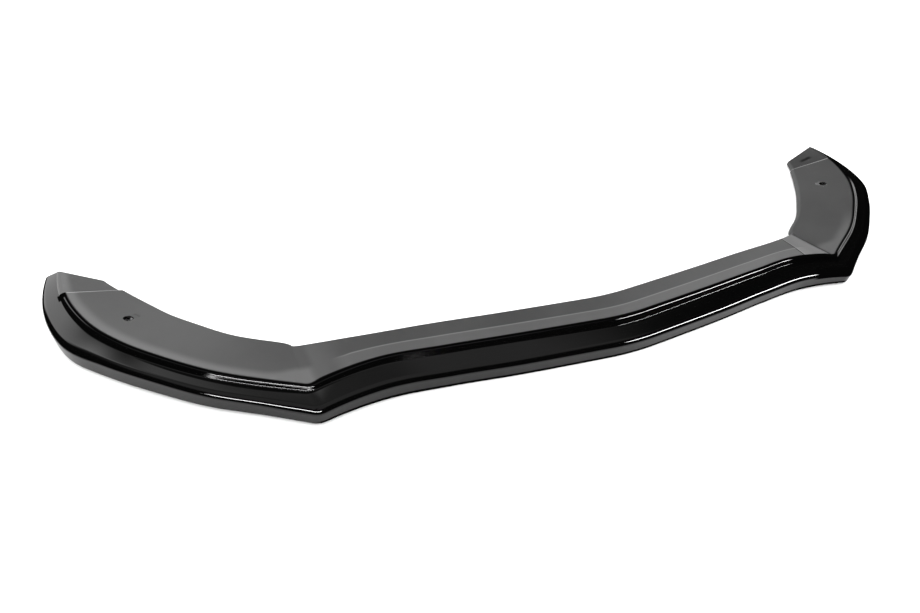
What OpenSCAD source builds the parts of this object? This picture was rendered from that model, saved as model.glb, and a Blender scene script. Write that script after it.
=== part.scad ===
// Front splitter lip: one sheet of gloss black ABS, vacuum formed and trimmed.
// The sheet is a loft. One stepped section is carried along the outer corner line, from the
// middle of the front, round the bumper corner, to the rear end of the wing, and mirrored in X.
// A section runs inwards from that line: ledge, step, flange and turned-down inner edge,
// with the upright band below the line.

/* [Overall] */
// Width over the two wings
overall_w = 1810; // [1500:1:2100]
// Half width at the bumper corners
corner_x = 550; // [450:1:620]
// Depth from the middle of the front to the rear end of the wing
wing_reach = 470; // [400:1:560]
// How far the front edge sweeps back between the middle and the corner
front_sweep = 40; // [20:1:60]
// Half length over which the bend at each corner is rounded
corner_bend = 12; // [8:1:60]
// Half length over which the bend at the middle of the front is rounded
middle_bend = 45; // [20:1:80]

/* [Sheet] */
// Thickness of the formed sheet
wall = 3.5; // [2:0.1:4.5]

/* [Band] */
// Height of the outer corner line along the wings
corner_line_h = 41; // [34:0.5:60]
// Rise of the lower edge of the band from the middle to the end of the wing
band_foot_rise = 10; // [0:0.5:16]
// How far the foot of the band is tucked in behind its top
band_tuck = 4; // [0:0.5:8]
// Radius of the rounded corner between band and ledge
corner_r = 11; // [6:0.5:14]

/* [Ledge and step] */
// Width of the ledge
ledge_w = 38; // [28:0.5:60]
// Height of the step between ledge and flange
step_h = 10; // [6:0.5:16]
// Run of the step face in plan, which gives the mould its draft
step_run = 6; // [4:0.5:12]
// Radius along the top of the step
step_top_r = 6; // [4:0.5:16]
// Radius of the fillet along the foot of the step
step_foot_r = 3; // [2:0.5:6]

/* [Flange] */
// Width of the flange between the bumper corners
front_flange_w = 62; // [40:1:90]
// Width of the flange on the wings
wing_flange_w = 115; // [80:1:150]
// Height of the flange along the top of the step
step_top_h = 52; // [48:0.5:72]
// Height of the inner edge of the flange between the bumper corners
inner_edge_h = 54; // [48:0.5:72]
// Height of the soft crease that stiffens the front flange
crease_h = 1.2; // [0.4:0.1:3]
// Length over which that crease dies out before each corner
crease_fade = 12; // [6:1:30]
// Depth of the turned-down inner edge
inner_lip_h = 8; // [6:0.5:10]
// Radius over the turned-down inner edge
inner_lip_r = 5; // [4:0.5:7]

/* [Rear tab] */
// Drop from the flange to the tab at its outer side
tab_drop = 6; // [3:0.5:8]
// Length along the wing over which the flange drops to the tab
tab_drop_run = 7; // [4:0.5:12]

/* [Screw holes] */
// Diameter of the screw hole in each wing flange
hole_d = 8; // [5:0.5:10]
// Diameter of the countersink at the surface
countersink_d = 14; // [11:0.5:18]
// Depth of the countersink
countersink_depth = 1.2; // [0.5:0.1:1.5]

/* [Hidden] */

half_w = overall_w / 2;
// The outer corner line in plan: front stations as shares of corner_x and front_sweep
front_x_shares = [0, 0.2, 0.4, 0.6, 0.8, 1];
front_y_shares = [0, 0.24, 0.5, 0.82, 1, 0.61];
// Wing stations as shares of the way out and back from the bumper corner
wing_x_shares = [0, 0.2, 0.41, 0.6, 0.78, 0.93, 1, 0.99];
wing_y_shares = [0, 0.1, 0.2, 0.32, 0.45, 0.59, 0.79, 1];
// Direction of each wing section in plan, as shares of a right turn towards the car
wing_turn_shares = [0, 0.2, 0.27, 0.36, 0.48, 0.62, 0.78, 1.03];

// Height of the outer corner line at each station, as shares of corner_line_h
front_line_h_shares = [0.8, 0.8, 0.8, 0.83, 0.92, 0.89];
wing_line_h_shares = [0.89, 0.92, 0.96, 1, 1, 0.96, 0.93, 0.85];
// Height of the foot of the band, as shares of band_foot_rise
front_foot_shares = [0.05, 0, 0.05, 0.15, 0.3, 0.5];
wing_foot_shares = [0.5, 0.5, 0.55, 0.55, 0.5, 0.5, 0.6, 0.8];
// Width of the ledge, as shares of ledge_w
front_ledge_shares = [0.95, 0.98, 1, 1, 1.1, 1.25];
wing_ledge_shares = [1.25, 1, 0.92, 0.85, 0.85, 1, 0.82, 0.57];
// Height of the step, as shares of step_h
front_step_shares = [1.25, 1.1, 0.9, 0.9, 0.9, 0.9];
wing_step_shares = [0.9, 1, 1, 0.95, 0.8, 0.6, 0.6, 0.7];
// Run of the step face, as shares of step_run
front_run_shares = [1.3, 1.2, 1.15, 1.1, 1, 0.5];
wing_run_shares = [0.5, 0.55, 0.7, 1, 1.3, 1.4, 1.2, 1.2];
// Height of the top of the step, as shares of step_top_h
front_top_shares = [1, 1, 1, 0.98, 0.95, 0.78];
wing_top_shares = [0.78, 0.76, 0.82, 0.86, 0.9, 0.94, 0.96, 0.96];
// Width of the flange, as shares of front_flange_w and wing_flange_w
front_flange_shares = [1.08, 1.04, 1.01, 0.97, 1];
wing_flange_shares = [1, 0.98, 1, 1.02, 1.02, 0.98, 0.81, 0.55];
// Height of the inner edge, as shares of inner_edge_h
front_inner_shares = [0.93, 0.96, 0.98, 1, 0.93, 0.37];
wing_inner_shares = [0.37, 0.3, 0.26, 0.24, 0.22, 0.24, 0.25, 0.21];
// Place of the crease across the flange, from the top of the step
crease_share = 0.42;
// Where the crease starts to die out, on the way from the middle to the corner
crease_end_share = 0.86;

// The end crease and the drop behind it, as shares of the wing's length and of tab_drop
end_crease_share = 0.875;
tab_inner_drop_share = 0.15;
// Height of the small edge left between ledge and tab, as a share of wall
tab_edge_share = 0.4;

// Where the screw hole lies: along the wing, and across the flange from the top of the step
hole_along_share = 0.66;
hole_across_share = 0.5;

// Numbers of points and sections
front_steps = 19;
fade_steps = 3;
bend_steps = 8;
middle_steps = 3;
wing_steps = 22;
tab_steps = 3;
drop_steps = 2;
// Shares of a straight that the roundings at its two ends may take up
large_round_share = 0.6;
small_round_share = 0.35;
// Least distance of a rounding's ends from its corner, as a share of wall
least_round_share = 0.25;
// Overrun of the hole's cut past the sheet
cut_over = 4 * wall;

// Smooth curve through a list of numbers or rows, at u = 0 for the first and 1 for the last
function slope(v, i) =
    i == 0 ? (4 * v[1] - 3 * v[0] - v[2]) / 2
    : i == len(v) - 1 ? (3 * v[i] - 4 * v[i - 1] + v[i - 2]) / 2
    : (v[i + 1] - v[i - 1]) / 2;
function hermite(a, b, sa, sb, t) =
    (1 - t) * (1 - t) * ((1 + 2 * t) * a + t * sa) + t * t * ((3 - 2 * t) * b - (1 - t) * sb);
function curve(v, u) =
    let (n = len(v) - 1, i = min(floor(u * n), n - 1))
    hermite(v[i], v[i + 1], slope(v, i), slope(v, i + 1), u * n - i);
function ease(t) = let (c = max(0, min(1, t))) c * c * (3 - 2 * c);
function blend(a, corner, b, t) = (1 - t) * (1 - t) * a + 2 * t * (1 - t) * corner + t * t * b;

// One row for each station: x, y, turn, line height, foot height, ledge width, step height,
// step top height, flange width, inner edge height, run of the step
front_rows = [for (i = [0 : len(front_x_shares) - 1]) [
    corner_x * front_x_shares[i],
    front_sweep * front_y_shares[i],
    0,
    corner_line_h * front_line_h_shares[i],
    band_foot_rise * front_foot_shares[i],
    ledge_w * front_ledge_shares[i],
    step_h * front_step_shares[i],
    step_top_h * front_top_shares[i],
    i < len(front_flange_shares) ? front_flange_w * front_flange_shares[i]
        : wing_flange_w * wing_flange_shares[0],
    inner_edge_h * front_inner_shares[i],
    step_run * front_run_shares[i],
]];
corner_y = front_sweep * front_y_shares[len(front_y_shares) - 1];
wing_rows = [for (i = [0 : len(wing_x_shares) - 1]) [
    corner_x + (half_w - corner_x) * wing_x_shares[i],
    corner_y + (wing_reach - corner_y) * wing_y_shares[i],
    90 * wing_turn_shares[i],
    corner_line_h * wing_line_h_shares[i],
    band_foot_rise * wing_foot_shares[i],
    ledge_w * wing_ledge_shares[i],
    step_h * wing_step_shares[i],
    step_top_h * wing_top_shares[i],
    wing_flange_w * wing_flange_shares[i],
    inner_edge_h * wing_inner_shares[i],
    step_run * wing_run_shares[i],
]];

// A row anywhere along half the lip: u runs from 0 in the middle to 1 at the corner and 2 at the rear
wing_length = norm([half_w - corner_x, wing_reach - corner_y]);
middle_u = middle_bend / corner_x;
bend_u = corner_bend / corner_x;
bend_v = corner_bend / wing_length;
function plain_row(u) = u <= 1 ? curve(front_rows, u) : curve(wing_rows, u - 1);
function mirrored(row) = [for (i = [0 : len(row) - 1]) i == 0 ? -row[i] : row[i]];
function row_at(u) =
    u < middle_u
        ? let (side = plain_row(middle_u))
          blend(mirrored(side), plain_row(0), side, (1 + u / middle_u) / 2)
    : u > 1 - bend_u && u < 1 + bend_v
        ? let (t = u < 1 ? (u - 1 + bend_u) / bend_u / 2 : (1 + (u - 1) / bend_v) / 2)
          blend(plain_row(1 - bend_u), plain_row(1), plain_row(1 + bend_v), t)
    : plain_row(u);

// How far the flange has dropped to the tab: 0 before the end crease, 1 behind it
drop_v = tab_drop_run / wing_length;
function dropped(u) = ease((u - 1 - end_crease_share) / drop_v);

// Height of the crease over the flange: full on the front, 0 from a little before the corner
fade_u = crease_fade / corner_x;
function crease_rise(u) = crease_h * (1 - ease((u - crease_end_share) / fade_u));

// The outer surface of a section as its sharp corners, each [distance inwards, height],
// from the foot of the turned-down inner edge to the foot of the band
function sharp_section(u) =
    let (r = row_at(u), d = dropped(u),
        heel = r[7] - r[6],
        top = r[7] - d * (r[6] - wall * tab_edge_share),
        run = r[10] * (1 - d) + wall * d,
        inner = r[9] - d * tab_drop * tab_inner_drop_share,
        far = r[5] + run + r[8])
    [
        [far, inner - inner_lip_h],
        [far, inner],
        [r[5] + run + r[8] * crease_share, top + (inner - top) * crease_share + crease_rise(u)],
        [r[5] + run, top],
        [r[5], heel],
        [0, r[3]],
        [band_tuck, r[4]],
    ];

// The same corners moved square to the sheet by its thickness
function unit(v) = v / norm(v);
function left_of(v) = [-v[1], v[0]];
function under_section(s) =
    let (n = len(s) - 1, side = [for (i = [0 : n - 1]) left_of(unit(s[i + 1] - s[i]))])
    [for (i = [0 : n])
        i == 0 ? s[0] + wall * side[0]
        : i == n ? s[n] + wall * side[n - 1]
        : s[i] + wall * (side[i - 1] + side[i]) / (1 + side[i - 1] * side[i])];

// Each inner corner as an arc of radius r with its ends no further out than the straights allow
function arc(p, c, q, r, n, before, after) =
    let (a = unit(p - c), b = unit(q - c),
        turn = 180 - acos(max(-1, min(1, a * b))),
        back = max(wall * least_round_share,
            min(r * tan(turn / 2), norm(p - c) * before, norm(q - c) * after)),
        w = cos(turn / 2))
    [for (i = [0 : n])
        let (t = i / n, k = (1 - t) * (1 - t) + 2 * t * (1 - t) * w + t * t)
        ((1 - t) * (1 - t) * (c + back * a) + 2 * t * (1 - t) * w * c + t * t * (c + back * b)) / k];
function rounded_section(s, thin) = concat(
    [s[0]],
    arc(s[0], s[1], s[2], inner_lip_r - thin, 3, large_round_share, small_round_share),
    arc(s[1], s[2], s[3], step_top_r, 2, small_round_share, small_round_share),
    arc(s[2], s[3], s[4], step_top_r - thin, 4, small_round_share, large_round_share),
    arc(s[3], s[4], s[5], step_foot_r + thin, 2, small_round_share, small_round_share),
    arc(s[4], s[5], s[6], corner_r - thin, 4, small_round_share, large_round_share),
    [s[6]]);

// A section placed in space: inwards along the station's own direction
function placed(u, side, points) =
    let (r = row_at(u))
    [for (p = points) [side * (r[0] - p[0] * sin(r[2])), r[1] + p[0] * cos(r[2]), p[1]]];
function ring(u, side) =
    let (s = sharp_section(u))
    placed(u, side, concat(rounded_section(s, 0), rounded_section(under_section(s), wall)));

function spread(a, b, n) = [for (i = [1 : n]) a + (b - a) * i / n];
crease_u = 1 + end_crease_share;
half_stations = concat(
    spread(0, middle_u, middle_steps),
    spread(middle_u, crease_end_share, front_steps),
    spread(crease_end_share, crease_end_share + fade_u, fade_steps),
    spread(crease_end_share + fade_u, 1 - bend_u, fade_steps),
    spread(1 - bend_u, 1 + bend_v, bend_steps),
    spread(1 + bend_v, crease_u, wing_steps),
    spread(crease_u, crease_u + drop_v, drop_steps),
    spread(crease_u + drop_v, 2, tab_steps));
last = len(half_stations) - 1;
rings = concat(
    [for (i = [last : -1 : 0]) ring(half_stations[i], -1)],
    [ring(0, 1)],
    [for (u = half_stations) ring(u, 1)]);

// The sheet lies so that the middle of its plan is at the origin and its lowest point at z = 0
points = [for (r = rings, p = r) p];
ys = [for (p = points) p[1]];
zs = [for (p = points) p[2]];
shift = [0, -(min(ys) + max(ys)) / 2, -min(zs)];

ring_n = len(rings[0]);
skin_n = ring_n / 2;
// A face strip between two neighbouring points of a ring and the next ring
function strip(k, i, j) =
    let (a = k * ring_n + i, b = k * ring_n + j)
    [[a, b, b + ring_n], [a, b + ring_n, a + ring_n]];
function cap(k, i, flip) =
    let (a = k * ring_n + i, c = a + skin_n)
    flip ? [[a, c, c + 1], [a, c + 1, a + 1]] : [[a, a + 1, c + 1], [a, c + 1, c]];
last_ring = len(rings) - 1;
faces = concat(
    [for (k = [0 : last_ring - 1], i = [0 : skin_n - 2], f = strip(k, i, i + 1)) f],
    [for (k = [0 : last_ring - 1], i = [skin_n : ring_n - 2], f = strip(k, i + 1, i)) f],
    [for (k = [0 : last_ring - 1], f = strip(k, skin_n, 0)) f],
    [for (k = [0 : last_ring - 1], f = strip(k, skin_n - 1, ring_n - 1)) f],
    [for (i = [0 : skin_n - 2], f = cap(0, i, true)) f],
    [for (i = [0 : skin_n - 2], f = cap(last_ring, i, false)) f]);

// Middle of the screw hole on the outer surface, and the direction out of the flange there
function flange_point(u, across) =
    let (s = sharp_section(u))
    placed(u, 1, [s[3] + (s[1] - s[3]) * across])[0] + shift;
hole_u = 1 + hole_along_share;
hole_at = flange_point(hole_u, hole_across_share);
hole_out = unit(cross(
    flange_point(hole_u + drop_v, hole_across_share) - hole_at,
    flange_point(hole_u, 1) - hole_at));

module screw_hole() {
    translate(hole_at)
        rotate([0, acos(hole_out[2]), atan2(hole_out[1], hole_out[0])]) {
            cylinder(h = 2 * cut_over, d = hole_d, center = true, $fn = 48);
            translate([0, 0, -countersink_depth])
                cylinder(h = 2 * countersink_depth, d1 = hole_d,
                    d2 = 2 * countersink_d - hole_d, $fn = 48);
        }
}

module splitter_lip() {
    color([0.03, 0.03, 0.035])
        difference() {
            translate(shift) polyhedron(points = points, faces = faces, convexity = 10);
            screw_hole();
            mirror([1, 0, 0]) screw_hole();
        }
}

splitter_lip();
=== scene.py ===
"""Studio picture of a vacuum-formed front splitter lip, black ABS, on a pale floor."""

import math

import bpy
import numpy as np
from mathutils import Matrix, Vector


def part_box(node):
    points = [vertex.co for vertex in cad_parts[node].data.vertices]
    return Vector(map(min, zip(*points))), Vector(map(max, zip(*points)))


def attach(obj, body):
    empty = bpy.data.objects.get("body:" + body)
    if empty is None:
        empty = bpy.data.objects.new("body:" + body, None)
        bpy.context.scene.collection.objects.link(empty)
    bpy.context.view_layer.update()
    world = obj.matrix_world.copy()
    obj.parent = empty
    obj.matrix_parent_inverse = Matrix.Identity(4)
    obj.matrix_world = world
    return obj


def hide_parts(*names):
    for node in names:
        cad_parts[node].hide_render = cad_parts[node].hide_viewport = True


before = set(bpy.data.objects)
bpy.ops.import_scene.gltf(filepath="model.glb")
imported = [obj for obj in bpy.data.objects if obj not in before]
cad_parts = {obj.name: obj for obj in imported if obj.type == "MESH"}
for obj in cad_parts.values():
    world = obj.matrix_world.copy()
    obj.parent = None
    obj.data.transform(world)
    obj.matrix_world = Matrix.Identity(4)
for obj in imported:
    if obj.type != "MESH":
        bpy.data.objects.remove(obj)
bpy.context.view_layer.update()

# Sizes, in mm
OVERALL_W = 1810.0
CORNER_X = 550.0
WING_REACH = 470.0
FRONT_SWEEP = 40.0
CORNER_BEND = 12.0
MIDDLE_BEND = 45.0
WALL = 3.5
CORNER_LINE_H = 41.0
BAND_FOOT_RISE = 10.0
BAND_TUCK = 4.0
CORNER_R = 11.0
LEDGE_W = 38.0
STEP_H = 10.0
STEP_RUN = 6.0
STEP_TOP_R = 6.0
STEP_FOOT_R = 2.0
FRONT_FLANGE_W = 62.0
WING_FLANGE_W = 115.0
STEP_TOP_H = 52.0
INNER_EDGE_H = 54.0
CREASE_H = 1.2
CREASE_FADE = 12.0
INNER_LIP_H = 8.0
INNER_LIP_R = 5.0
TAB_DROP = 6.0
TAB_DROP_RUN = 7.0
HOLE_D = 8.0
COUNTERSINK_D = 14.0
COUNTERSINK_DEPTH = 1.2
CUTTER_DEPTH = 20.0

# Shares along half the lip: six front stations, then eight wing stations
FRONT = {
    "x": (0, 0.2, 0.4, 0.6, 0.8, 1),
    "y": (0, 0.24, 0.5, 0.82, 1, 0.61),
    "line": (0.8, 0.8, 0.8, 0.83, 0.92, 0.89),
    "foot": (0.05, 0, 0.05, 0.15, 0.3, 0.5),
    "ledge": (0.95, 0.98, 1, 1, 1.1, 1.25),
    "step": (1.25, 1.1, 0.9, 0.9, 0.9, 0.9),
    "run": (1.3, 1.2, 1.15, 1.1, 1, 0.5),
    "top": (1, 1, 1, 0.98, 0.95, 0.78),
    "flange": (1.08, 1.04, 1.01, 0.97, 1),
    "inner": (0.93, 0.96, 0.98, 1, 0.93, 0.37),
}
WING = {
    "x": (0, 0.2, 0.41, 0.6, 0.78, 0.93, 1, 0.99),
    "y": (0, 0.1, 0.2, 0.32, 0.45, 0.59, 0.79, 1),
    "turn": (0, 0.2, 0.27, 0.36, 0.48, 0.62, 0.78, 1.03),
    "line": (0.89, 0.92, 0.96, 1, 1, 0.96, 0.93, 0.85),
    "foot": (0.5, 0.5, 0.55, 0.55, 0.5, 0.5, 0.6, 0.8),
    "ledge": (1.25, 1, 0.92, 0.85, 0.85, 1, 0.82, 0.57),
    "step": (0.9, 1, 1, 0.95, 0.8, 0.6, 0.6, 0.7),
    "run": (0.5, 0.55, 0.7, 1, 1.3, 1.4, 1.2, 1.2),
    "top": (0.78, 0.76, 0.82, 0.86, 0.9, 0.94, 0.96, 0.96),
    "flange": (1, 0.98, 1, 1.02, 1.02, 0.98, 0.81, 0.55),
    "inner": (0.37, 0.3, 0.26, 0.24, 0.22, 0.24, 0.25, 0.21),
}
CREASE_SHARE = 0.42
CREASE_END_SHARE = 0.86
END_CREASE_SHARE = 0.875
TAB_INNER_DROP_SHARE = 0.15
TAB_EDGE_SHARE = 0.4
HOLE_ALONG_SHARE = 0.66
HOLE_ACROSS_SHARE = 0.5
LARGE_ROUND_SHARE = 0.6
SMALL_ROUND_SHARE = 0.35
LEAST_ROUND_SHARE = 0.25

# Where each straight of a section is divided, close to its ends so that it stays flat between the bends
STRAIGHT = np.array([0.02, 0.15, 0.5, 0.85, 0.98])[None, :, None]
# In the place along a section, a bend reaches this far to both sides of its corner's whole number
BEND_SPAN = 0.2
FOOT_SPAN = 0.7
UNDERSIDE = 6.5
# A face whose normal has a smaller share than this along a hole's axis belongs to the hole's wall
HOLE_WALL_SHARE = 0.95
SHARP_RIM_ANGLE = 35

# Light and tones
DEEPEST_BLACK = 0.0008
FLOOR_GREY = 0.88
EVEN_LIGHT = 2.3
DARK_ROOM = 0.004
KEY_LIGHT_W = 25

# The studio, in metres, and the camera
FLOOR_REACH = 20
FLOOR_GAP = 0.0005
KEY_LIGHT_SIZE = 3.0
KEY_LIGHT_PLACE = (1.4, 3.2, 3.4)
CAMERA_PLACE = (-0.7031, -0.8826, 0.8205)
CAMERA_FORWARD = (0.36441, 0.67413, -0.64246)
CAMERA_UP = (0.20369, 0.61549, 0.76137)
SENSOR_W = 36.0
LENS = 27.39

# Columns of a row
X, Y, TURN, LINE_H, FOOT_H, LEDGE, STEP, TOP_H, FLANGE, INNER_H, RUN = range(11)


def size_rows(shares, x, y, turn, flange):
    """Rows of sizes at some stations, in the order of the columns above."""
    columns = (
        x,
        y,
        turn,
        CORNER_LINE_H * shares["line"],
        BAND_FOOT_RISE * shares["foot"],
        LEDGE_W * shares["ledge"],
        STEP_H * shares["step"],
        STEP_TOP_H * shares["top"],
        flange,
        INNER_EDGE_H * shares["inner"],
        STEP_RUN * shares["run"],
    )
    return np.stack(columns, axis=1)


def station_rows():
    """The rows of sizes at the front stations and at the wing stations, in mm and degrees."""
    f = {k: np.array(v, float) for k, v in FRONT.items()}
    w = {k: np.array(v, float) for k, v in WING.items()}
    wing_flange = WING_FLANGE_W * w["flange"]
    front_flange = np.append(FRONT_FLANGE_W * f["flange"], wing_flange[0])
    front = size_rows(f, CORNER_X * f["x"], FRONT_SWEEP * f["y"], 0 * f["x"], front_flange)
    corner_y = front[-1, Y]
    x = CORNER_X + (OVERALL_W / 2 - CORNER_X) * w["x"]
    y = corner_y + (WING_REACH - corner_y) * w["y"]
    return front, size_rows(w, x, y, 90 * w["turn"], wing_flange)


FRONT_ROWS, WING_ROWS = station_rows()
WING_LENGTH = math.hypot(OVERALL_W / 2 - CORNER_X, WING_REACH - FRONT_ROWS[-1, Y])
MIDDLE_U = MIDDLE_BEND / CORNER_X
BEND_U = CORNER_BEND / CORNER_X
BEND_V = CORNER_BEND / WING_LENGTH
DROP_V = TAB_DROP_RUN / WING_LENGTH
FADE_U = CREASE_FADE / CORNER_X
CORNER_U = 1 - BEND_U
CREASE_U = 1 + END_CREASE_SHARE


def through(rows, u):
    """The cubic through all the rows, whose slope at a row is half the way between its two neighbours."""
    n = len(rows) - 1
    slopes = np.empty_like(rows)
    slopes[1:-1] = (rows[2:] - rows[:-2]) / 2
    slopes[0] = (4 * rows[1] - 3 * rows[0] - rows[2]) / 2
    slopes[-1] = (3 * rows[-1] - 4 * rows[-2] + rows[-3]) / 2
    i = np.clip(np.floor(u * n).astype(int), 0, n - 1)
    t = (u * n - i)[:, None]
    near = (1 - t) ** 2 * ((1 + 2 * t) * rows[i] + t * slopes[i])
    far = t**2 * ((3 - 2 * t) * rows[i + 1] - (1 - t) * slopes[i + 1])
    return near + far


def plain_rows(u):
    """Rows before the bends are rounded: the front's curve up to 1, then the wing's."""
    u = np.atleast_1d(np.asarray(u, float))
    front = through(FRONT_ROWS, np.clip(u, 0, 1))
    wing = through(WING_ROWS, np.clip(u - 1, 0, 1))
    return np.where((u <= 1)[:, None], front, wing)


def rounded(a, corner, b, t):
    """A parabola from a to b that heads for the corner between them."""
    t = t[:, None]
    return (1 - t) ** 2 * a + 2 * t * (1 - t) * corner + t**2 * b


def rows_at(u):
    """Rows with the bend in the middle and the bend at the bumper corner rounded."""
    rows = plain_rows(u)
    side = plain_rows([MIDDLE_U])
    other = side.copy()
    other[:, X] *= -1
    middle = rounded(other, plain_rows([0]), side, (1 + u / MIDDLE_U) / 2)
    rows = np.where((u < MIDDLE_U)[:, None], middle, rows)
    t = np.where(u < 1, (u - 1 + BEND_U) / BEND_U / 2, (1 + (u - 1) / BEND_V) / 2)
    corner = rounded(plain_rows([1 - BEND_U]), plain_rows([1]), plain_rows([1 + BEND_V]), t)
    inside = (u > 1 - BEND_U) & (u < 1 + BEND_V)
    return np.where(inside[:, None], corner, rows)


def ease(t):
    """A smooth step from 0 to 1."""
    c = np.clip(t, 0, 1)
    return c * c * (3 - 2 * c)


def sharp_sections(u):
    """Seven corners of each section as (distance inwards, height), from the turned-down inner edge to the
    foot of the band. Behind the end crease the flange eases down to the tab, and the crease on the front
    flange dies out before the corner."""
    r = rows_at(u)
    drop = ease((u - 1 - END_CREASE_SHARE) / DROP_V)
    rise = CREASE_H * (1 - ease((u - CREASE_END_SHARE) / FADE_U))
    top = r[:, TOP_H] - drop * (r[:, STEP] - WALL * TAB_EDGE_SHARE)
    run = r[:, RUN] * (1 - drop) + WALL * drop
    inner = r[:, INNER_H] - drop * TAB_DROP * TAB_INNER_DROP_SHARE
    far = r[:, LEDGE] + run + r[:, FLANGE]
    crease = top + (inner - top) * CREASE_SHARE + rise
    corners = (
        (far, inner - INNER_LIP_H),
        (far, inner),
        (r[:, LEDGE] + run + r[:, FLANGE] * CREASE_SHARE, crease),
        (r[:, LEDGE] + run, top),
        (r[:, LEDGE], r[:, TOP_H] - r[:, STEP]),
        (0 * far, r[:, LINE_H]),
        (0 * far + BAND_TUCK, r[:, FOOT_H]),
    )
    return np.stack([np.stack(c, axis=1) for c in corners], axis=1), r


def unit(v):
    """Vectors brought to length 1."""
    return v / np.linalg.norm(v, axis=-1, keepdims=True)


def under_sections(s):
    """The same corners moved square to the sheet by its thickness, along the mitre of the two straights."""
    d = unit(s[:, 1:] - s[:, :-1])
    n = np.stack([-d[..., 1], d[..., 0]], axis=-1)
    mitre = (n[:, :-1] + n[:, 1:]) / (1 + (n[:, :-1] * n[:, 1:]).sum(-1, keepdims=True))
    return s + WALL * np.concatenate([n[:, :1], mitre, n[:, -1:]], axis=1)


def arc(p, c, q, radius, n, before, after):
    """A true arc in place of the corner c, as a weighted parabola. Its ends stay within the given shares of
    the two straights."""
    a, b = unit(p - c), unit(q - c)
    turn = np.pi - np.arccos(np.clip((a * b).sum(-1), -1, 1))
    back = np.minimum(radius * np.tan(turn / 2), np.linalg.norm(p - c, axis=-1) * before)
    back = np.minimum(back, np.linalg.norm(q - c, axis=-1) * after)
    back = np.maximum(back, WALL * LEAST_ROUND_SHARE)[:, None, None]
    w = np.cos(turn / 2)[:, None, None]
    t = np.linspace(0, 1, n + 1)[None, :, None]
    a, b, c = a[:, None], b[:, None], c[:, None]
    weight = (1 - t) ** 2 + 2 * t * (1 - t) * w + t**2
    return ((1 - t) ** 2 * (c + back * a) + 2 * t * (1 - t) * w * c + t**2 * (c + back * b)) / weight


def rounded_sections(s, thin):
    """Each section with its corners rounded and its straights divided. Returns the points, and for each point
    its place along the section: 1 at the inner edge, 2 at the crease, 3 at the step's top, 4 at its foot, 5
    at the corner line and 6 at the band's foot. Thin is what the sheet's thickness takes off an outer radius."""
    big, small = LARGE_ROUND_SHARE, SMALL_ROUND_SHARE
    plan = (
        (1, INNER_LIP_R - thin, 8, big, small),
        (2, STEP_TOP_R, 6, small, small),
        (3, STEP_TOP_R - thin, 14, small, big),
        (4, STEP_FOOT_R + thin, 10, small, small),
        (5, CORNER_R - thin, 16, small, big),
    )
    pieces, places = [s[:, :1]], [np.zeros(1)]
    for i, radius, n, before, after in plan:
        bend = arc(s[:, i - 1], s[:, i], s[:, i + 1], radius, n, before, after)
        last = pieces[-1][:, -1:]
        pieces += [last + (bend[:, :1] - last) * STRAIGHT, bend]
        places.append(i - 1 + BEND_SPAN + (1 - 2 * BEND_SPAN) * STRAIGHT.ravel())
        places.append(np.linspace(i - BEND_SPAN, i + BEND_SPAN, n + 1))
    last = pieces[-1][:, -1:]
    pieces += [last + (s[:, 6:] - last) * STRAIGHT, s[:, 6:]]
    places += [5 + BEND_SPAN + FOOT_SPAN * STRAIGHT.ravel(), np.array([6.0])]
    return np.concatenate(pieces, axis=1), np.concatenate(places)


def in_space(r, points, side):
    """Section points put in space: each section runs inwards from its place on the corner line, turned by
    its own angle from straight back."""
    a = np.radians(r[:, TURN])[:, None]
    x = side * (r[:, X, None] - points[..., 0] * np.sin(a))
    y = r[:, Y, None] + points[..., 0] * np.cos(a)
    return np.stack([x, y, points[..., 1]], axis=-1)


def lip_surface(u, side):
    """Rings of points round the sheet, top first and then underside, for stations u on one side. With them go
    two marks for each point: its place along the section, and its share of the flange's width, 0 at the step
    and 1 at the inner edge."""
    s, r = sharp_sections(u)
    top, place = rounded_sections(s, 0)
    under, _ = rounded_sections(under_sections(s), WALL)
    section = np.concatenate([top, under], axis=1)
    start, end = s[:, 3, 0, None], s[:, 1, 0, None]
    inward = (section[..., 0] - start) / (end - start)
    across = np.broadcast_to(np.concatenate([place, np.full_like(place, UNDERSIDE)]), inward.shape)
    return in_space(r, section, side), across, inward


def stations():
    """Where along half the lip the sections are taken, closest at the bends and at the drop to the tab."""
    parts = (
        (0, MIDDLE_U, 12),
        (MIDDLE_U, CREASE_END_SHARE, 72),
        (CREASE_END_SHARE, CREASE_END_SHARE + FADE_U, 8),
        (CREASE_END_SHARE + FADE_U, CORNER_U, 10),
        (CORNER_U, 1 + BEND_V, 24),
        (1 + BEND_V, CREASE_U, 84),
        (CREASE_U, CREASE_U + DROP_V, 10),
        (CREASE_U + DROP_V, 2, 10),
    )
    share = 1.0
    spans = [np.linspace(a, b, max(4, int(n * share)), endpoint=False) for a, b, n in parts]
    return np.append(np.concatenate(spans), 2.0)


def new_mesh(name, points, faces):
    """A mesh object at the origin from an array of points in metres and a list of faces."""
    mesh = bpy.data.meshes.new(name)
    mesh.from_pydata(points.tolist(), [], faces)
    mesh.update()
    obj = bpy.data.objects.new(name, mesh)
    bpy.context.scene.collection.objects.link(obj)
    return obj


def quads(rows, columns):
    """Faces of a closed tube of rings: every ring joined to the next all the way round."""
    i, j = np.meshgrid(np.arange(rows - 1), np.arange(columns), indexing="ij")
    k = (j + 1) % columns
    a, b = i * columns + j, i * columns + k
    return np.stack([a, b, b + columns, a + columns], axis=-1).reshape(-1, 4)


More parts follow.
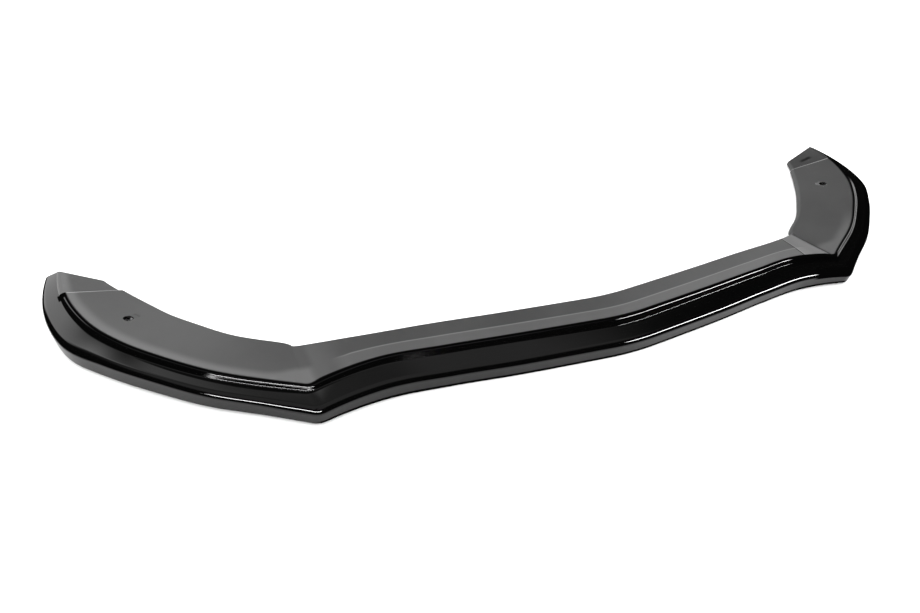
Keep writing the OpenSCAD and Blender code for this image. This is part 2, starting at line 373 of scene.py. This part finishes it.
def build_lip():
    """The whole lip as one closed sheet. A ring runs over the top from the inner edge to the band's foot, and
    back along the underside. Returns the object and how far it was shifted to its place, in mm."""
    u = stations()
    right, across, inward = lip_surface(u, 1)
    left, _, _ = lip_surface(u[1:], -1)
    rings = np.concatenate([left[::-1], right])
    across = np.concatenate([across[1:][::-1], across])
    inward = np.concatenate([inward[1:][::-1], inward])
    along = np.concatenate([-u[1:][::-1], u])[:, None] + 0 * across
    count, width = rings.shape[:2]
    half = width // 2
    order = np.concatenate([np.arange(half), np.arange(half, width)[::-1]])
    faces = quads(count, width)
    j = np.arange(half - 1)
    cap = np.stack([j, width - 1 - j, width - 2 - j, j + 1], axis=-1)
    faces = np.concatenate([faces, cap, (cap + (count - 1) * width)[:, ::-1]])
    low, high = (np.array(v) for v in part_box("splitter_lip"))
    points = rings[:, order].reshape(-1, 3) / 1000
    middle = (points[:, 1].min() + points[:, 1].max()) / 2
    shift = np.array([0, (low[1] + high[1]) / 2 - middle, low[2] - points[:, 2].min()])
    lip = new_mesh("front_splitter_lip", np.clip(points + shift, low, high), faces[:, ::-1].tolist())
    for name, values in (("along", along), ("across", across), ("inward", inward)):
        mark = lip.data.attributes.new(name, "FLOAT", "POINT")
        mark.data.foreach_set("value", values[:, order].ravel().astype(np.float32))
    return lip, shift * 1000


def hole_frame():
    """The middle of the right screw hole on the flange in mm, before the lip is shifted to its place, and the
    direction out of the flange there."""

    def flange(u, across):
        s, r = sharp_sections(np.array([u]))
        p = s[:, 3] + (s[:, 1] - s[:, 3]) * across
        return in_space(r, p[:, None], 1)[0, 0]

    u = 1 + HOLE_ALONG_SHARE
    at = flange(u, HOLE_ACROSS_SHARE)
    out = unit(np.cross(flange(u + DROP_V, HOLE_ACROSS_SHARE) - at, flange(u, 1) - at))
    return at, out


def hole_cutter(at, out, side):
    """A closed turned form for a screw hole: a plain bore, then a cone that passes through the surface. On
    the left its faces are turned about, because the mirror image would leave them inside out."""
    bore, wide = HOLE_D / 2, COUNTERSINK_D / 2
    deep = COUNTERSINK_DEPTH
    profile = [(-CUTTER_DEPTH, bore), (-deep, bore), (0, wide), (deep, 2 * wide - bore)]
    n = 64
    angle = np.linspace(0, 2 * np.pi, n, endpoint=False)
    ring = np.stack([np.cos(angle), np.sin(angle)], axis=-1)
    local = np.concatenate([np.column_stack([ring * r, np.full(n, z)]) for z, r in profile])
    across = unit(np.cross(out, [0.0, 1.0, 0.0]))
    basis = np.stack([across, np.cross(out, across), out])
    points = (local @ basis + at) * [side, 1, 1] / 1000
    last = (len(profile) - 1) * n
    faces = quads(len(profile), n).tolist() + [list(range(n))[::-1], list(range(last, last + n))]
    return new_mesh("cutter", points, [face[::side] for face in faces])


def cut_holes(lip, shift):
    """Cuts both screw holes and keeps the result as the lip's own mesh."""
    at, out = hole_frame()
    cutters = [hole_cutter(at + shift, out, side) for side in (1, -1)]
    for cutter in cutters:
        cut = lip.modifiers.new("cut", "BOOLEAN")
        cut.object = cutter
        cut.operation = "DIFFERENCE"
        cut.solver = "EXACT"
    graph = bpy.context.evaluated_depsgraph_get()
    mesh = bpy.data.meshes.new_from_object(lip.evaluated_get(graph))
    lip.modifiers.clear()
    old = lip.data
    lip.data = mesh
    mesh.name = lip.name
    bpy.data.meshes.remove(old)
    for cutter in cutters:
        data = cutter.data
        bpy.data.objects.remove(cutter)
        bpy.data.meshes.remove(data)
    mark_holes(mesh, at + shift, out)


def mark_holes(mesh, at, out):
    """Marks the walls of both holes: faces within the countersink's radius of a hole's axis that belong neither
    to the flange's surface nor to its underside."""
    count = len(mesh.polygons)
    centre, normal, corners = np.empty(count * 3), np.empty(count * 3), np.empty(count, int)
    mesh.polygons.foreach_get("center", centre)
    mesh.polygons.foreach_get("normal", normal)
    mesh.polygons.foreach_get("loop_total", corners)
    centre, normal = centre.reshape(-1, 3) * 1000, normal.reshape(-1, 3)
    inside = np.zeros(count, bool)
    for side in (1, -1):
        away = centre - at * [side, 1, 1]
        axis = out * [side, 1, 1]
        apart = np.linalg.norm(away - (away @ axis)[:, None] * axis, axis=1)
        inside |= (apart < COUNTERSINK_D / 2) & (np.abs(normal @ axis) < HOLE_WALL_SHARE)
    mark = mesh.attributes.new("hole", "FLOAT", "CORNER")
    mark.data.foreach_set("value", np.repeat(inside, corners).astype(np.float32))


def smooth_with_sharp_rims(obj, degrees):
    """Smooth shading, with an edge kept crisp where the surface turns by more than this."""
    mesh = obj.data
    mesh.polygons.foreach_set("use_smooth", np.ones(len(mesh.polygons), bool))
    mesh.set_sharp_from_angle(angle=math.radians(degrees))
    mesh.update()


def node(tree, kind, **values):
    """A node of this kind with its inputs set by name."""
    n = tree.nodes.new(kind)
    for key, value in values.items():
        n.inputs[key.title()].default_value = value
    return n


def feed(tree, socket, value):
    """Links a value to a socket, or sets the socket if it is a plain number."""
    if isinstance(value, Value):
        tree.links.new(value.socket, socket)
    else:
        socket.default_value = value


class Value:
    """A node's output that can stand in a formula. Each sum, difference, product and larger one of two, which
    is written |, becomes a Math node, and plain numbers are set on its sockets."""

    def __init__(self, tree, socket):
        self.tree = tree
        self.socket = socket

    def maths(self, operation, *terms):
        """One Math node on the given terms, each a value or a number."""
        n = self.tree.nodes.new("ShaderNodeMath")
        n.operation = operation
        for socket, term in zip(n.inputs, terms):
            feed(self.tree, socket, term)
        return Value(self.tree, n.outputs[0])

    def __add__(self, other):
        return self.maths("ADD", self, other)

    def __sub__(self, other):
        return self.maths("SUBTRACT", self, other)

    def __rsub__(self, other):
        return self.maths("SUBTRACT", other, self)

    def __mul__(self, other):
        return self.maths("MULTIPLY", self, other)

    def __or__(self, other):
        return self.maths("MAXIMUM", self, other)

    __radd__ = __add__
    __rmul__ = __mul__

    def ramp(self, start, end, low=0.0, high=1.0):
        """A smooth step: low where this value is at start, high where it is at end."""
        n = self.tree.nodes.new("ShaderNodeMapRange")
        n.interpolation_type = "SMOOTHSTEP"
        terms = {"Value": self, "From Min": start, "From Max": end, "To Min": low, "To Max": high}
        for name, term in terms.items():
            feed(self.tree, n.inputs[name], term)
        return Value(self.tree, n.outputs["Result"])

    def between(self, low, high, soft):
        """1 inside a stretch and 0 outside it, with edges of the given softness."""
        return self.ramp(low - soft, low) * self.ramp(high + soft, high)

    def beside(self, middle, half, soft):
        """1 within half a width of a place and 0 away from it, with edges of the given softness."""
        return self.between(middle - half, middle + half, soft)


def attribute(tree, name):
    """A number stored on the mesh."""
    n = tree.nodes.new("ShaderNodeAttribute")
    n.attribute_name = name
    return Value(tree, n.outputs["Fac"])


def grey_colour(tree, value):
    """A colour with the same share of red, green and blue."""
    n = tree.nodes.new("ShaderNodeCombineColor")
    for socket in n.inputs:
        feed(tree, socket, value)
    return Value(tree, n.outputs[0])


class Marks:
    """The marks on the lip's points, and the masks that several zones share. Along is the place along the lip,
    negative on the left: 0 in the middle, 1 at the bumper corner, 2 at the rear. Its size alone is u."""

    def __init__(self, tree):
        self.across, self.inward, self.hole, self.along = (
            attribute(tree, name) for name in ("across", "inward", "hole", "along")
        )
        self.u = self.along.maths("ABSOLUTE", self.along)
        self.right = self.along.ramp(-0.02, 0.02)
        self.front = self.u.ramp(CORNER_U + 0.014, CORNER_U - 0.016)
        self.tab = self.u.ramp(CREASE_U + 0.4 * DROP_V, CREASE_U + 0.9 * DROP_V)
        step_end = self.u.between(CREASE_U - 0.016, CREASE_U + 0.15 * DROP_V, 0.01)
        # Painted shade: a black patch at the end of the step, where it meets the end crease.
        self.notch_shade = self.across.between(2.86, 4.24, 0.06) * step_end
        edge = 0.065 + self.u.ramp(CORNER_U - 0.02, CORNER_U + 0.03) * -0.035
        self.rounding = self.inward.ramp(edge, edge + 0.04)


def satin_zone(m):
    """1 on the flange, the tab and the underside, and 0 on the gloss, in the painted shade of the notch and in
    the screw holes.
    """
    satin = m.rounding | m.tab * m.across.ramp(3.92, 3.88)
    satin = satin * (1 - m.notch_shade) | m.across.ramp(6.2, 6.4)
    return satin * (1 - m.hole)


def front_painted_light(m):
    """Painted light and shade on the front flange: lighter in front of the crease and towards the right, and
    lightest on the facet at the right bumper corner."""
    outer = m.inward.ramp(CREASE_SHARE + 0.01, CREASE_SHARE - 0.01) * m.u.ramp(0.93, 0.88)
    facet = m.along.between(CREASE_END_SHARE + 0.002, CORNER_U, 0.003)
    shade = 0.42 + 0.25 * outer + 0.22 * m.along.ramp(-0.5, 0.7)
    shade = shade + 0.2 * (m.u.ramp(0.86, 0.97) * m.front) + 0.45 * facet
    return shade * m.front


def wing_painted_light(m):
    """Painted light and shade on the wing flanges, set apart for the left and the right: lighter in a strip
    along the step, and darker on the right tab.
    """
    edge = m.u.ramp(1.0, 1.16, 0.42, 0.2)
    strip = m.inward.ramp(edge + 0.06, edge - 0.1)
    left = 0.5 + 0.22 * m.u.ramp(1.05, 1.5) + 0.42 * strip
    right = 0.48 + 0.3 * (strip * m.u.ramp(1.45, 1.25)) + 0.2 * m.inward.ramp(0.93, 0.97)
    shade = left * (1 - m.right) + right * m.right
    return (shade - 0.12 * (m.tab * m.right)) * (1 - m.front)


def fold_shade_and_spot(m):
    """Painted shade along the folds on both sides of the facet, and a soft dark spot on the right tab."""
    fold_shade = m.along.beside(0.86, 0.0015, 0.0025) | m.along.beside(0.986, 0.002, 0.003)
    dark_spot = m.along.beside(1.94, 0.004, 0.012) * m.inward.beside(0.5, 0.1, 0.12)
    return fold_shade * m.across.ramp(2.9, 2.8) | 0.8 * dark_spot


def painted_highlight_lines(m):
    """Painted highlights, as pale lines: the crease along the front flange, the fold beside the facet, the
    crease across each wing's rear, and the edge of each tab."""
    ridge = m.inward.beside(CREASE_SHARE, 0.012, 0.012) * m.u.ramp(0.92, 0.86)
    fold = m.along.beside(0.866, 0.0015, 0.002) * m.front
    end = m.u.between(CREASE_U - 0.1 * DROP_V, CREASE_U + 0.45 * DROP_V, 0.1 * DROP_V)
    rim = m.across.between(3.25, 3.7, 0.06) * m.tab
    return 0.2 * ridge | 0.25 * fold | 0.8 * (end * m.across.ramp(2.9, 2.8)) | 0.4 * rim


def painted_dark_zone(m):
    """Painted shade: 1 where the gloss is made to reflect nothing, so it stays black: the foot of the band in
    front, the shoulder above the step, the notch, and where the step and the corner line die out on the right."""
    foot_shade = m.across.between(5.74, 6.1, 0.05) * m.u.ramp(1.02, 0.99)
    shoulder = (1 - m.rounding) * m.across.ramp(3.04, 2.98)
    dying = m.across.between(2.85, 4.3, 0.05) * m.along.between(0.8, 1.03, 0.06)
    edge_end = m.across.between(4.75, 5.25, 0.05) * m.along.between(0.86, 2.1, 0.04)
    return foot_shade | shoulder | m.notch_shade | dying | edge_end


def zone_group():
    """Where the lip's surfaces lie, from the marks on its points: where it is satin, the painted light and shade
    on the satin, where the painted highlight lines run, and where the gloss is painted dark by losing its
    reflection."""
    group = bpy.data.node_groups.new("zones", "ShaderNodeTree")
    for name in ("Satin", "Shade", "Line", "Painted Dark"):
        group.interface.new_socket(name, in_out="OUTPUT", socket_type="NodeSocketFloat")
    result = group.nodes.new("NodeGroupOutput")
    m = Marks(group)
    shade = (front_painted_light(m) + wing_painted_light(m)) * (1 - fold_shade_and_spot(m))
    for socket, value in zip(result.inputs, (satin_zone(m), shade, painted_highlight_lines(m), painted_dark_zone(m))):
        feed(group, socket, value)
    return group


def noise(tree, place, scale, detail, roughness):
    """A noise texture at these coordinates."""
    n = node(tree, "ShaderNodeTexNoise", scale=scale, detail=detail, roughness=roughness)
    tree.links.new(place, n.inputs["Vector"])
    return Value(tree, n.outputs[0])


def lip_material():
    """Black ABS. The ledge, the step and the band are as glossy as the mould. The flange that goes against the
    bumper has a fine satin grain, with painted light on it: paler where it tilts outwards, and painted
    highlights along the creases."""
    material = bpy.data.materials.new("black_abs")
    material.use_nodes = True
    tree = material.node_tree
    shader = tree.nodes["Principled BSDF"]
    shader.inputs["IOR"].default_value = 1.5
    place = tree.nodes.new("ShaderNodeTexCoord").outputs["Object"]
    zones = tree.nodes.new("ShaderNodeGroup")
    zones.node_tree = zone_group()
    satin, shade, line, painted_dark = (Value(tree, zones.outputs[k]) for k in ("Satin", "Shade", "Line", "Painted Dark"))
    cloud = noise(tree, place, 7.0, 3.0, 0.55)
    grain = noise(tree, place, 900.0, 2.0, 0.6)
    peel = noise(tree, place, 60.0, 1.0, 0.4)

    # Painted light in the base colour: the shade zone paints light and shade onto the satin and the line zone
    # paints pale highlight lines; the cloud only varies the tone at random.
    tone = 0.08 * shade + 0.2 * line + cloud.ramp(0.3, 0.7, -0.003, 0.003)
    rough = satin.ramp(0, 1, 0.05, 0.6) + cloud.ramp(0.35, 0.75, 0.0, 0.03)
    # Where the dark zone is 1 the gloss loses its reflection, painting it black as shade.
    level = satin.ramp(0, 1, 0.5, 0.15) * painted_dark.ramp(0, 1, 1.0, 0.0)
    feed(tree, shader.inputs["Base Color"], grey_colour(tree, DEEPEST_BLACK + satin * tone))
    feed(tree, shader.inputs["Roughness"], rough)
    feed(tree, shader.inputs["Specular IOR Level"], level)

    bump = node(tree, "ShaderNodeBump", strength=0.25, distance=0.0004)
    feed(tree, bump.inputs["Height"], grain * satin.ramp(0, 1, 0.0, 0.25) + peel * 0.02)
    tree.links.new(bump.outputs[0], shader.inputs["Normal"])
    return material


def floor_material():
    """A pale matt sheet of paper. Its colour is painted darker for glossy rays that have travelled more than a
    few centimetres, so the lip's gloss reflects only the part of it close by: painted shade in the reflections."""
    material = bpy.data.materials.new("pale_floor")
    material.use_nodes = True
    tree = material.node_tree
    shader = tree.nodes["Principled BSDF"]
    path = tree.nodes.new("ShaderNodeLightPath")
    # Painted shade: in reflections the floor turns dark beyond about 5 to 9 cm.
    near = Value(tree, path.outputs["Ray Length"]).ramp(0.09, 0.045, 0.0, 0.6)
    far_gloss_shade = Value(tree, path.outputs["Is Glossy Ray"]) * (1 - near)
    feed(tree, shader.inputs["Base Color"], grey_colour(tree, FLOOR_GREY * (1 - far_gloss_shade)))
    shader.inputs["Roughness"].default_value = 0.9
    shader.inputs["Specular IOR Level"].default_value = 0.0
    return material


def softbox_group():
    """Brightness of one soft light in the room's reflection: full inside a rectangle of azimuth and elevation,
    fading over a soft width on each of its four sides. Angles are in radians, azimuth from +Y towards +X."""
    group = bpy.data.node_groups.new("softbox", "ShaderNodeTree")
    names = ("Azimuth", "Elevation", "Middle", "Half Width", "Soft Left", "Soft Right")
    names += ("Low", "High", "Soft Low", "Soft High", "Strength")
    for name in names:
        group.interface.new_socket(name, in_out="INPUT", socket_type="NodeSocketFloat")
    group.interface.new_socket("Light", in_out="OUTPUT", socket_type="NodeSocketFloat")
    inside, result = group.nodes.new("NodeGroupInput"), group.nodes.new("NodeGroupOutput")
    azimuth, elevation, middle, half, soft_left, soft_right, low, high, soft_low, soft_high, strength = (
        Value(group, inside.outputs[name]) for name in names
    )
    turn = azimuth - middle
    turn = turn.maths("WRAP", turn, math.pi, -math.pi)
    left = 0.0 - half
    light = strength * turn.ramp(left - soft_left, left) * turn.ramp(half + soft_right, half)
    light = light * elevation.ramp(low - soft_low, low) * elevation.ramp(high + soft_high, high)
    feed(group, result.inputs[0], light)
    return group


# Azimuth of the middle, half width, softness left and right, low and high elevation, softness below and above,
# all in degrees, and strength
SOFTBOXES = {
    "behind on the left": (-24, 14, 7, 15, 8, 38, 8, 14, 2.1),
    "low behind": (-2, 8, 8, 9, 2, 27, 4, 10, 0.5),
    "wide behind": (4, 16, 10, 14, 12, 46, 8, 12, 0.22),
    "overhead": (30, 170, 5, 5, 64, 90, 18, 5, 0.38),
    "low on the right": (81, 11, 5, 8, 6, 26, 6, 6, 1.8),
    "strip in front on the left": (-154.5, 28.5, 2, 4, 22, 26, 1, 1, 60),
    "strip in front on the right": (131, 13.5, 3, 3, 22, 26, 1, 1, 60),
}


def room_reflection(tree):
    """How bright the room is in a direction, as glossy surfaces reflect it: dark but for the soft lights."""
    split = tree.nodes.new("ShaderNodeSeparateXYZ")
    tree.links.new(tree.nodes.new("ShaderNodeTexCoord").outputs["Generated"], split.inputs[0])
    x, y, z = (Value(tree, socket) for socket in split.outputs)
    azimuth, elevation = x.maths("ARCTAN2", x, y), z.maths("ARCSINE", z)
    group = softbox_group()
    light = DARK_ROOM
    for label, (*angles, strength) in SOFTBOXES.items():
        box = tree.nodes.new("ShaderNodeGroup")
        box.node_tree = group
        box.label = label
        feed(tree, box.inputs[0], azimuth)
        feed(tree, box.inputs[1], elevation)
        for i, angle in enumerate(angles):
            box.inputs[2 + i].default_value = math.radians(angle)
        box.inputs["Strength"].default_value = strength
        light = light + Value(tree, box.outputs[0])
    return light


def build_world():
    """White for the camera, the dark room with its soft lights for glossy rays, and an even white light for
    all other rays."""
    world = bpy.data.worlds.new("studio")
    bpy.context.scene.world = world
    world.use_nodes = True
    tree = world.node_tree
    tree.nodes.clear()
    out = tree.nodes.new("ShaderNodeOutputWorld")
    shades = []
    for strength in (EVEN_LIGHT, room_reflection(tree), 1.0):
        shade = tree.nodes.new("ShaderNodeBackground")
        shade.inputs["Color"].default_value = (1, 1, 1, 1)
        feed(tree, shade.inputs["Strength"], strength)
        shades.append(shade.outputs[0])
    path = tree.nodes.new("ShaderNodeLightPath")
    current = shades[0]
    for ray, shade in (("Is Glossy Ray", shades[1]), ("Is Camera Ray", shades[2])):
        mix = tree.nodes.new("ShaderNodeMixShader")
        tree.links.new(path.outputs[ray], mix.inputs[0])
        tree.links.new(current, mix.inputs[1])
        tree.links.new(shade, mix.inputs[2])
        current = mix.outputs[0]
    tree.links.new(current, out.inputs[0])


def build_floor():
    """The floor, a hair below the lip."""
    corners = np.array([[-1, -1, 0], [1, -1, 0], [1, 1, 0], [-1, 1, 0]])
    floor = new_mesh("floor", corners * FLOOR_REACH - [0, 0, FLOOR_GAP], [[0, 1, 2, 3]])
    floor.data.materials.append(floor_material())


def build_key_light():
    """A square soft lamp high behind the lip, aimed at it. Neither the camera nor the gloss sees it."""
    data = bpy.data.lights.new("key_light", "AREA")
    data.size = KEY_LIGHT_SIZE
    data.energy = KEY_LIGHT_W
    key = bpy.data.objects.new("key_light", data)
    bpy.context.scene.collection.objects.link(key)
    key.location = KEY_LIGHT_PLACE
    key.rotation_euler = (-key.location).to_track_quat("-Z", "Y").to_euler()
    key.visible_glossy = False
    key.visible_camera = False


def build_camera():
    """The camera where the photograph was taken from, turned by its view direction and its up direction."""
    data = bpy.data.cameras.new("camera")
    data.sensor_width = SENSOR_W
    data.lens = LENS
    data.clip_start = 0.01
    camera = bpy.data.objects.new("camera", data)
    bpy.context.scene.collection.objects.link(camera)
    forward = Vector(CAMERA_FORWARD).normalized()
    right = forward.cross(Vector(CAMERA_UP)).normalized()
    turn = Matrix((right, right.cross(forward), -forward)).transposed().to_4x4()
    camera.matrix_world = Matrix.Translation(CAMERA_PLACE) @ turn
    bpy.context.scene.camera = camera


lip, lip_shift = build_lip()
cut_holes(lip, lip_shift)
smooth_with_sharp_rims(lip, SHARP_RIM_ANGLE)
lip.data.materials.clear()
lip.data.materials.append(lip_material())
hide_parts("splitter_lip")
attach(lip, "root")

build_world()
build_floor()
build_key_light()
build_camera()
bpy.context.scene.view_settings.view_transform = "Standard"
